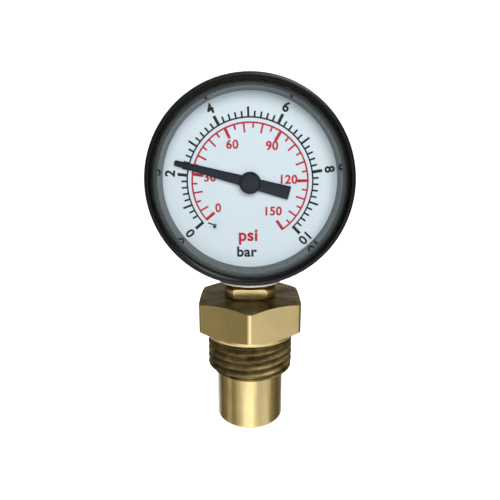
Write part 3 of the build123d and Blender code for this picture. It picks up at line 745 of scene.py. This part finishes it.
def arc(radius, width, first, last, front, depth):
    """Flat printed arc."""
    rings, steps = [], 240
    for i in range(steps + 1):
        angle = first + (last - first) * i / steps
        ring = []
        for r, y in ((-0.5, 0.0), (0.5, 0.0), (0.5, -depth), (-0.5, -depth)):
            reach = radius + r * width
            ring.append(on_dial(reach * cos(angle), reach * sin(angle), front + y))
        rings.append(ring)
    return capped("arc", rings)


def dash(ends, width, front, depth):
    """Straight flat mark on the dial between two spots."""
    (x0, z0), (x1, z1) = ends
    reach = hypot(x1 - x0, z1 - z0)
    side = (-(z1 - z0) / reach * width / 2, (x1 - x0) / reach * width / 2)
    flat = [(x0 + side[0], z0 + side[1]), (x1 + side[0], z1 + side[1]),
            (x1 - side[0], z1 - side[1]), (x0 - side[0], z0 - side[1])]
    return capped("dash", [[on_dial(x, z, y) for x, z in flat] for y in (front, front - depth)])


class GAUGE_OT_dial(Operator):
    """Print the bar and psi scales, numerals and units on the dial"""
    bl_idname = "gauge.dial"
    bl_label = "Dial and print"

    def execute(self, context):
        sizes, colours = context.scene.gauge_sizes, context.scene.gauge_colours
        black, red = ink("black_ink", colours.black_ink), ink("red_ink", colours.red_ink)
        front, depth = DIAL_LOW.y, sizes.ink_depth
        ticks = tick_tree()
        thin, thick = sizes.thin_tick, sizes.thick_tick
        arc_depth = 1.6 * depth
        numeral_ring, dash_ring = 17.05 * MM, 12.6 * MM

        def row(material, count, first, step, inner, outer, width, coat):
            """Even marks. A higher coat lies over a lower one."""
            ink_depth = depth * (1 + 0.2 * coat)
            values = {"Count": count, "First": first, "Turn": step, "Inner": inner * MM,
                      "Outer": outer * MM, "Width": width, "Depth": ink_depth,
                      "Front": front - ink_depth / 2, "Ink": material}
            return grown("ticks", ticks, values)

        bar = [
            row(black, 48, bar_angle(0.6), BAR_TURN * 0.2, 13.3, 14.6, thin, 0),
            row(black, 10, bar_angle(1), BAR_TURN, 13.3, 15.4, thin * 1.15, 1),
            row(black, 5, bar_angle(2), BAR_TURN * 2, 13.3, 15.45, thick, 2),
            row(black, 1, ZERO_MARK, 0.0, 13.2, 15.45, thick, 2),
            arc(13.35 * MM, 0.32 * MM, ZERO_MARK + 0.02, FULL_BAR - 0.02, front, arc_depth),
        ]
        for value in (0, 2, 4, 6, 8, 10):
            angle = bar_angle(value)
            spot = turned(numeral_ring, 0.0, angle)
            bar.append(written(str(value), 1, sizes.bar_digit, spot, angle - pi / 2, front, depth))
        bar.append(written("bar", 0, 4.4 * MM, (-0.65 * MM, -15.1 * MM), 0.0, front, depth))
        # A black mark from the zero tick to the stop pin.
        pin = (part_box("stop_pin")[0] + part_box("stop_pin")[1]) / 2
        ends = [turned(dash_ring, 0.0, ZERO_MARK + 0.06), (pin.x, pin.z - AXIS)]
        bar.append(dash(ends, 0.3 * MM, front, depth))
        psi = [
            row(red, 29, psi_angle(10), PSI_TURN * 5, 11.2, 12.3, thin, 0),
            row(red, 15, psi_angle(10), PSI_TURN * 10, 10.3, 12.3, thin, 1),
            row(red, 5, psi_angle(30), PSI_TURN * 30, 10.0, 12.3, thick, 2),
            row(red, 1, ZERO_MARK, 0.0, 10.0, 12.3, thick, 2),
            arc(12.3 * MM, 0.36 * MM, ZERO_MARK + 0.025, psi_angle(150) - 0.025, front, arc_depth),
        ]
        spots = {0: (-6.85, -5.4), 30: (-8.5, 1.1), 60: (-3.7, 7.9), 90: (4.6, 7.6), 120: (8.3, 0.65),
                 150: (5.1, -6.1)}
        for value, (x, z) in spots.items():
            psi.append(written(str(value), 1, sizes.psi_digit, (x * MM, z * MM), 0.0, front, depth))
        psi.append(written("psi", 0, 4.1 * MM, (-0.4 * MM, -11.85 * MM), 0.0, front, depth))
        place_piece("bar_scale", joined("bar_scale", bar), [black], "gauge_body", "dial_white")
        place_piece("psi_scale", joined("psi_scale", psi), [red], "gauge_body", "dial_white")
        return {"FINISHED"}


def inset(outline, distance):
    """Convex outline moved inward."""
    lines, count = [], len(outline)
    for i in range(count):
        a, b = Vector(outline[i]), Vector(outline[(i + 1) % count])
        along = (b - a).normalized()
        lines.append((a + Vector((-along.y, along.x)) * distance, along))
    corners = []
    for i in range(count):
        (p, u), (q, v) = lines[i - 1], lines[i]
        t = (q - p).cross(v) / u.cross(v)
        corners.append(p + u * t)
    return corners


class GAUGE_OT_pointer(Operator):
    """Build the bevelled pointer with its boss"""
    bl_idname = "gauge.pointer"
    bl_label = "Pointer"

    def execute(self, context):
        colours = context.scene.gauge_colours
        reading = radians(165.33)
        tip, tail, nose = 16.35 * MM, 8.65 * MM, 0.25 * MM
        root, end, heel = 1.175 * MM, 0.575 * MM, 1.425 * MM
        boss_radius, boss_top = 2.3 * MM, 1.85 * MM
        front, back = POINTER_LOW.y, POINTER_HIGH.y
        outline = [(-tail, -heel), (0, -root), (tip - nose, -end), (tip, nose - end),
                   (tip, end - nose), (tip - nose, end), (0, root), (-tail, heel)]
        levels = [(0.02, 0.0), (0.0, 0.02), (0.0, 0.16), (0.02, 0.19), (0.27, 0.46), (0.31, 0.49),
                  (0.36, 0.5)]
        rings = []
        for inward, rise in levels:
            spots = [turned(x, z, reading) for x, z in inset(outline, inward * MM)]
            rings.append([on_dial(x, z, back - rise * MM) for x, z in spots])
        blade = capped("blade", rings)
        boss = about_dial("boss", [
            (0.0, back, 0),
            (boss_radius, back, 0),
            (boss_radius, front + 0.45 * MM, 0.12 * MM),
            (boss_top, front, 0.12 * MM),
            (0.0, front, 0),
        ], 96)
        paint = moulded("pointer_black", colours.pointer, 0.34, 0.2)
        place_piece("gauge_pointer", joined("pointer", [blade, boss]), [paint], "pointer_shaft",
                    "pointer_black", "pointer")
        return {"FINISHED"}


def corner_limit(flats, corner_round):
    """Turn from a hexagon's corner to the end of its round."""
    middle = (flats / 2 - corner_round) / cos(pi / 6)
    return atan2(corner_round * sin(pi / 6), middle + corner_round * cos(pi / 6))


def hexagon_reach(turn, flats, corner_round):
    """Distance from the axis to a hexagon with rounded corners, one of which points to the front."""
    step = pi / 3
    off = abs((turn + pi / 2 + step / 2) % step - step / 2)
    middle = (flats / 2 - corner_round) / cos(step / 2)
    if off < corner_limit(flats, corner_round):
        return middle * cos(off) + sqrt(corner_round ** 2 - (middle * sin(off)) ** 2)
    return flats / 2 / cos(step / 2 - off)


def hexagon_turns(flats, corner_round):
    """Turns round the hexagon: close together over each rounded corner, wider apart along each flat."""
    half = pi / 6
    round_end = corner_limit(flats, corner_round)
    near = [round_end * i / 6 for i in range(7)]
    coarse = [half * i / 22 for i in range(2, 22)]
    offsets = near + [turn for turn in coarse if turn > round_end + 0.01]
    turns = []
    for k in range(6):
        corner = -pi / 2 + k * 2 * half
        turns += [corner + turn for turn in offsets] + [corner + half]
        turns += [corner + 2 * half - turn for turn in reversed(offsets) if turn > 0]
    return turns


def unit(value):
    """Value held between 0 and 1."""
    return min(max(value, 0.0), 1.0)


def thread_radius(turn, height, root, low, sizes):
    """Radius of the helical thread, which fades out toward both of its ends."""
    root_share, flank_share, roundness = 0.12, 0.80, 0.35
    fade_length = 0.5 * MM
    phase = (height / sizes.thread_pitch - turn / (2 * pi)) % 1.0
    flank = unit((abs(phase - 0.5) * 2 - root_share) / flank_share)
    rounded = flank * flank * (3 - 2 * flank)
    rise = rounded * roundness + flank * (1 - roundness)
    fade = unit(min(-height, height - low) / fade_length)
    return root + sizes.thread_depth * rise * fade


class GAUGE_OT_adapter(Operator):
    """Build the adapter: chamfered hexagon, washer face, cut thread and plain spigot"""
    bl_idname = "gauge.adapter"
    bl_label = "Adapter"

    def execute(self, context):
        sizes, colours = context.scene.gauge_sizes, context.scene.gauge_colours
        flats = ADAPTER_HIGH.x - ADAPTER_LOW.x
        top, bottom, low = ADAPTER_HIGH.z, ADAPTER_LOW.z, 1.25 * MM
        turns = hexagon_turns(flats, sizes.corner_round)
        reach = [hexagon_reach(turn, flats, sizes.corner_round) for turn in turns]
        edge, slope = flats / 2 - 0.15 * MM, tan(radians(20))
        bore, port, port_floor = 3.0 * MM, 4.97 * MM, 0.6 * MM
        crest = 10.4775 * MM
        root = crest - sizes.thread_depth
        face, spigot = 11.4 * MM, 8.25 * MM
        thread_low = -9.77 * MM
        relief = thread_low + 0.3 * MM
        beside = 0.1 * MM

        def levels(*corners):
            """Round rings from pairs of a radius and a height."""
            return [[(radius * cos(turn), radius * sin(turn), height) for turn in turns]
                    for radius, height in corners]

        def chamfered(side, offset):
            """Ring on the upper (1) or lower (-1) chamfer's outer edge, or beside it by an offset."""
            start = top if side > 0 else low
            shrink = 0.0 if offset else 0.01 * MM
            ring = []
            for r, turn in zip(reach, turns):
                height = start - side * ((r - edge) * slope + offset * MM)
                ring.append(((r - shrink) * cos(turn), (r - shrink) * sin(turn), height))
            return ring

        rings = levels((bore, port_floor), (port - beside, port_floor), (port - beside, top - 0.5 * MM),
                       (port, top - 0.4 * MM), (port, top), (edge - beside, top), (edge, top))
        port_rings = 4
        flat_from = len(rings)
        for side, offset in ((1, 0.0), (1, 0.02), (1, 0.09), (-1, 0.09), (-1, 0.02), (-1, 0.0)):
            rings.append(chamfered(side, offset))
        flat_to = len(rings) - 1
        rings += levels((edge, low), (edge - beside, low), (face, low), (face, 0.75 * MM),
                        (face - 0.16 * MM, 0.22 * MM), (face - 0.3 * MM, 0.04 * MM),
                        (face - 0.4 * MM, 0.0), (crest + 0.12 * MM, 0.0), (crest, 0.15 * MM),
                        (root + 0.05 * MM, 0.15 * MM), (root, 0.1 * MM))
        thread_from = len(rings) - 2
        height = -0.02 * MM
        while height > relief + 0.02 * MM:
            ring = []
            for turn in turns:
                radius = thread_radius(turn, height, root, relief, sizes)
                ring.append((radius * cos(turn), radius * sin(turn), height))
            rings.append(ring)
            height -= sizes.thread_pitch / 22
        rings += levels((root, relief), (root - 0.3 * MM, thread_low), (spigot + beside, thread_low),
                        (spigot, thread_low - beside))
        thread_to = len(rings) - 2
        rings += levels((spigot, bottom + 0.84 * MM), (spigot, bottom + 0.8 * MM),
                        (spigot - 0.06 * MM, bottom + 0.68 * MM), (spigot - 0.68 * MM, bottom + 0.06 * MM),
                        (spigot - 0.8 * MM, bottom), (spigot - 0.9 * MM, bottom),
                        (bore + 0.3 * MM, bottom), (bore + 0.25 * MM, bottom), (bore, bottom + 0.25 * MM))
        turned_brass, drawn_brass, dark_and_shaded_brass = 0, 1, 2
        slots = [turned_brass] * len(rings)
        # Painted shade: the hexagon's top, which faces the black case, takes the dark brass of the thread.
        slots[port_rings:flat_from] = [dark_and_shaded_brass] * (flat_from - port_rings)
        slots[flat_from:flat_to] = [drawn_brass] * (flat_to - flat_from)
        slots[thread_from:thread_to] = [dark_and_shaded_brass] * (thread_to - thread_from)
        finishes = [metal("adapter_turned", colours.brass, 0.17),
                    metal("adapter_drawn", colours.brass, 0.22, "drawn", 0.35),
                    tarnished("adapter_thread", colours.thread)]
        body = skin("adapter", rings, True, slots)
        place_piece("gauge_adapter", body, finishes, "gauge_body", "polished_brass", "adapter")
        return {"FINISHED"}


class GAUGE_OT_rear_screws(Operator):
    """Set the slotted screws that hold the case to the stem's block"""
    bl_idname = "gauge.rear_screws"
    bl_label = "Rear screws"

    def execute(self, context):
        tip, back, seat = SCREWS_LOW.y, SCREWS_HIGH.y, CASE_HIGH.y
        shank, point = 1.25 * MM, 1.05 * MM
        slot_half, slot_depth, slot_turn = 0.43 * MM, 0.75 * MM, radians(-30)
        screw = about_dial("screw", [
            (0.0, tip, 0),
            (point, tip, 0),
            (shank, tip + 0.3 * MM, 0),
            (shank, seat, 0),
            (SCREW_HEAD, seat, 0.05 * MM),
            (SCREW_HEAD, back, 0.3 * MM),
            (0.0, back, 0),
        ], 72)
        screw.transform(Matrix.Translation((0.0, 0.0, -AXIS)))
        wide = SCREW_HEAD + MM
        corners = [(-wide, -slot_half), (wide, -slot_half), (wide, slot_half), (-wide, slot_half)]
        flat = [turned(x, z, slot_turn) for x, z in corners]
        slot = capped("slot", [[(x, y, z) for x, z in flat] for y in (back - slot_depth, back + MM)])
        screw = carved("screw", screw, slot, "DIFFERENCE")
        zinc = metal("zinc_steel", (0.62, 0.63, 0.64), 0.30, "plain", 0.3)
        values = {"Count": 2, "Spacing": SCREW_SPACING, "Height": SCREW_HEIGHT, "Metal": zinc}
        screws = grown("rear_screws", screw_tree(), values, screw)
        place_piece("case_screws", screws, [zinc], "gauge_body", "zinc_steel", "rear_screws")
        return {"FINISHED"}


class GAUGE_OT_tube(Operator):
    """Build the flattened Bourdon tube in one fixed shape; the real tube opens as the pointer turns"""
    bl_idname = "gauge.tube"
    bl_label = "Bourdon tube"

    def execute(self, context):
        half_width = (TUBE_HIGH.y - TUBE_LOW.y) / 2
        half_thick, rounding = 0.9 * MM, 0.8 * MM
        radius = 14.3 * MM
        first, sweep, steps = 260, 280, 140
        section = []
        for side_r, side_y, start in ((1, 1, 0), (-1, 1, 90), (-1, -1, 180), (1, -1, 270)):
            for k in range(6):
                turn = radians(start + 18 * k)
                section.append((side_r * (half_thick - rounding) + rounding * cos(turn),
                                side_y * (half_width - rounding) + rounding * sin(turn)))
        rings = []
        for i in range(steps + 1):
            angle = radians(first - sweep * i / steps)
            spots = [(*turned(radius + r, 0.0, angle), y) for r, y in section]
            rings.append([on_dial(*spot) for spot in spots])
        bronze = metal("tube_bronze", (0.78, 0.48, 0.28), 0.26, "plain", 0.3)
        tube = link_object("tube_bourdon", shaded(capped("tube", rings)), [bronze])
        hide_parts("bourdon_tube")
        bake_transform(tube)
        return {"FINISHED"}


class GAUGE_OT_finishes(Operator):
    """Give the stem, bush, seal, dial and movement their finishes"""
    bl_idname = "gauge.finishes"
    bl_label = "Finishes"

    def execute(self, context):
        colours = context.scene.gauge_colours
        movement = metal("movement_brass", (0.80, 0.60, 0.29), 0.28, "plain", 0.4)
        steel = metal("steel", (0.56, 0.57, 0.58), 0.24, "plain", 0.3)
        bronze = metal("spring_bronze", (0.74, 0.46, 0.27), 0.24, "plain", 0.2)
        finishes = {
            "dial": enamel("dial_white", colours.dial),
            "stop_pin": metal("dark_steel", (0.045, 0.055, 0.06), 0.34, "plain", 0.3),
            # Painted shade: the stem is the adapter's brass made darker, for the shade under the case.
            "stem": metal("stem_brass", shade(colours.brass, 0.88), 0.20, "drawn", 0.3),
            "stem_bush": moulded("bush_white", colours.bush, 0.44, 0.3),
            "port_gasket": moulded("gasket_dark", (0.02, 0.019, 0.018), 0.6, 0.6),
            "hairspring": bronze,
        }
        for node in ("pinion_shaft", "sector_arbor", "sector_pin", "tip_pin", "plate_screws",
                     "movement_screws"):
            finishes[node] = steel
        for node in ("pointer_bush", "sector_gear", "link", "tube_end", "back_plate", "front_plate",
                     "pillars", "hairspring_collet", "hairspring_stud", "restrictor"):
            finishes[node] = movement
        for node, finish in finishes.items():
            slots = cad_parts[node].material_slots
            for slot in slots:
                slot.material = finish
        return {"FINISHED"}


class GAUGE_OT_stage(Operator):
    """Set up the floor, the studio light and the camera"""
    bl_idname = "gauge.stage"
    bl_label = "Stage"

    def execute(self, context):
        stage = context.scene.gauge_stage
        floor_level = cad_box[0].z
        profile = [(0.0, 0.0), (0.9, 0.0), (1.3, 0.03), (1.6, 0.15), (1.8, 0.4), (1.85, 0.8), (1.85, 2.2)]
        rings = []
        for radius, height in profile:
            if radius == 0.0:
                rings.append([(0.0, 0.0, floor_level)])
            else:
                rings.append([(radius * cos(t), radius * sin(t), floor_level + height) for t in circle(96)])
        mesh = skin("floor", rings, False)
        mesh.flip_normals()
        paper = Finish("floor_paper")
        tooth = paper.noise(paper.place, 60.0, 3.0)
        shader = paper.surface({
            "Base Color": paper.between(tooth, (0.90, 0.90, 0.90), (0.94, 0.94, 0.94)),
            "Roughness": 0.9,
            "Emission Color": (1.0, 1.0, 1.0, 1.0),
            "Emission Strength": 0.85,
        })
        floor = link_object("floor", shaded(mesh), [paper.show(shader)])
        floor.visible_glossy = False
        floor.visible_diffuse = False
        self.light_room(context.scene)
        key = self.soft_light(context.scene, "key", (0.05, -0.36, 0.15), (0.36, 0.26), stage.key)
        key.visible_glossy = False
        self.soft_light(context.scene, "edge_strip", (0.13, -0.13, 0.33), (0.30, 0.10), stage.strip)
        view = bpy.data.cameras.new("camera")
        view.lens, view.sensor_width = stage.lens, 36.0
        view.clip_start = 0.005
        camera = bpy.data.objects.new("camera", view)
        camera.location = (0.0, -stage.distance, stage.height)
        camera.rotation_euler = (pi / 2 - stage.pitch, 0.0, 0.0)
        context.scene.collection.objects.link(camera)
        context.scene.camera = camera
        context.scene.view_settings.view_transform = "Standard"
        return {"FINISHED"}

    def soft_light(self, scene, name, place, size, power):
        """Rectangular light, turned toward the dial."""
        lamp = bpy.data.lights.new(name, "AREA")
        lamp.shape = "RECTANGLE"
        lamp.size, lamp.size_y, lamp.energy = *size, power
        light = bpy.data.objects.new(name, lamp)
        light.location = place
        toward_dial = Vector((0.0, 0.0, AXIS)) - light.location
        light.rotation_euler = toward_dial.to_track_quat("-Z", "Y").to_euler()
        scene.collection.objects.link(light)
        return light

    def light_room(self, scene):
        """Soft panels painted round the room, dimmed above the horizon, with a pale floor and ceiling."""
        world = bpy.data.worlds.new("studio")
        world.use_nodes = True
        scene.world = world
        room = Graph(world.node_tree)
        x, y, z = room.split(room.add("ShaderNodeTexCoord", None, None, "Generated"))
        turn = x.toward(y * -1.0) / (2 * pi) + 0.5
        panels = [(-180, 1.30), (-150, 0.60), (-118, 0.09), (-94, 0.20), (-82, 0.46), (-74, 0.50),
                  (-66, 0.24), (-55, 0.24), (-45, 0.48), (-36, 0.72), (-26, 0.95), (-11, 1.45), (4, 1.7),
                  (14, 1.35), (24, 0.88), (33, 0.68), (41, 0.72), (52, 0.80), (66, 0.74), (76, 0.50),
                  (84, 0.24), (105, 0.12), (134, 0.13), (155, 0.60), (180, 1.30)]
        stops = []
        for angle, tone in panels:
            warmth = 0.70 if tone < 0.6 else 0.98
            stops.append(((angle + 180) / 360, (tone, tone * (0.8 + 0.2 * warmth), tone * warmth, 1.0)))
        wall = room.add("ShaderNodeValToRGB", {"stops": stops}, {0: turn})
        below = room.clamped((z + 0.62) * -3.0)
        above = room.clamped((z - 0.55) * 4.0)
        level = room.clamped((z + 0.15) * -7.0)
        dim = room.between(level, (0.38, 0.38, 0.38), (1.0, 1.0, 1.0))
        wall = room.add("ShaderNodeVectorMath", {"operation": "MULTIPLY"}, {0: wall, 1: dim})
        lower = room.between(below, wall, (1.15, 1.15, 1.13))
        tone = room.between(above, lower, (0.42, 0.42, 0.42))
        light = room.add("ShaderNodeBackground", None, {"Color": tone, "Strength": 1.0})
        room.add("ShaderNodeOutputWorld", None, {"Surface": light}, None)


class GAUGE_PT_panel(Panel):
    """Lists the gauge's pieces and settings"""
    bl_idname = "GAUGE_PT_panel"
    bl_label = "Pressure gauge"
    bl_space_type = "VIEW_3D"
    bl_region_type = "UI"
    bl_category = "Gauge"

    def draw(self, context):
        for operator in OPERATORS:
            self.layout.operator(operator.bl_idname)
        for group in (context.scene.gauge_sizes, context.scene.gauge_colours, context.scene.gauge_stage):
            box = self.layout.box()
            for key in group.__annotations__:
                box.prop(group, key)


GROUPS = {"gauge_sizes": GaugeSizes, "gauge_colours": GaugeColours, "gauge_stage": GaugeStage}
OPERATORS = (GAUGE_OT_case, GAUGE_OT_window, GAUGE_OT_dial, GAUGE_OT_pointer, GAUGE_OT_adapter,
             GAUGE_OT_rear_screws, GAUGE_OT_tube, GAUGE_OT_finishes, GAUGE_OT_stage)


def register():
    for kind in (*GROUPS.values(), *OPERATORS, GAUGE_PT_panel):
        bpy.utils.register_class(kind)
    for name, group in GROUPS.items():
        setattr(bpy.types.Scene, name, PointerProperty(type=group))


def unregister():
    for name in GROUPS:
        delattr(bpy.types.Scene, name)
    for kind in (GAUGE_PT_panel, *reversed(OPERATORS), *GROUPS.values()):
        bpy.utils.unregister_class(kind)


def main():
    register()
    for operator in OPERATORS:
        getattr(bpy.ops.gauge, operator.bl_idname.split(".")[1])()


if __name__ == "__main__":
    main()
